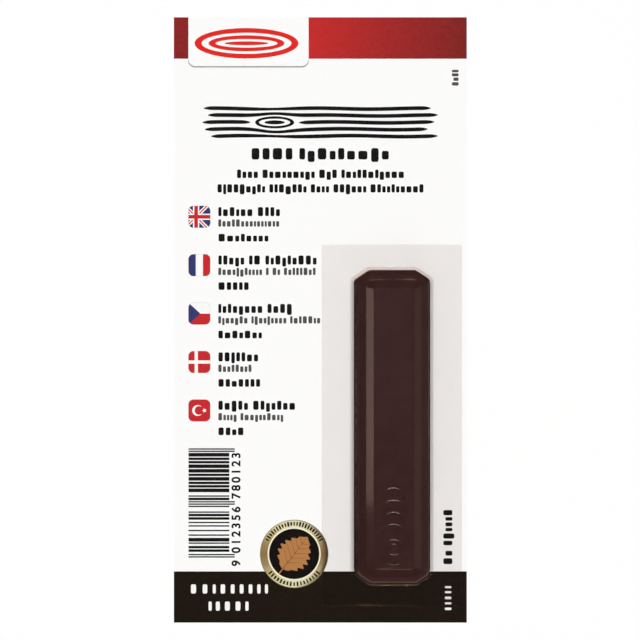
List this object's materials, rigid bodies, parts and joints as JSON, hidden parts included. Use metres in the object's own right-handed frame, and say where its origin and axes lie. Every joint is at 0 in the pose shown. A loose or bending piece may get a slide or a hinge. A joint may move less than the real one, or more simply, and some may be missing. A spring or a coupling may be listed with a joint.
{
  "type": "furniture repair wax stick in blister pack",
  "caption": "Carded blister pack lying flat: a faceted wax filler bar over a flat spatula, under a clear formed cover sealed to a printed card.",
  "frame": {"origin": "middle of the card's back face, where the pack lies flat", "axes": "+Z out of the printed front, +Y up the card, +X to the card's right seen from the front"},
  "size_m": [0.075, 0.155, 0.0114],
  "materials": {
    "board": "satin",
    "red_ink": "satin",
    "dark_ink": "satin",
    "gold_foil": "gloss",
    "wax": "satin",
    "clear_sheet": "gloss",
    "spatula_plastic": "satin"
  },
  "bodies": {
    "backing": {"card": "board", "header_print": "red_ink", "footer_print": "dark_ink", "seal_ring": "gold_foil", "seal_disc": "dark_ink"},
    "spatula": {"spatula": "spatula_plastic"},
    "stick": {"wax_stick": "wax"},
    "cover": {"cover": "clear_sheet"}
  },
  "joints": [
    {"name": "spatula_lift", "type": "slide", "parent": "backing", "child": "spatula", "axis": [0, 0, 1], "range_m": [0, 0.015]},
    {"name": "stick_lift", "type": "slide", "parent": "spatula", "child": "stick", "axis": [0, 0, 1], "range_m": [0, 0.015]},
    {"name": "cover_lift", "type": "slide", "parent": "stick", "child": "cover", "axis": [0, 0, 1], "range_m": [0, 0.03]}
  ]
}
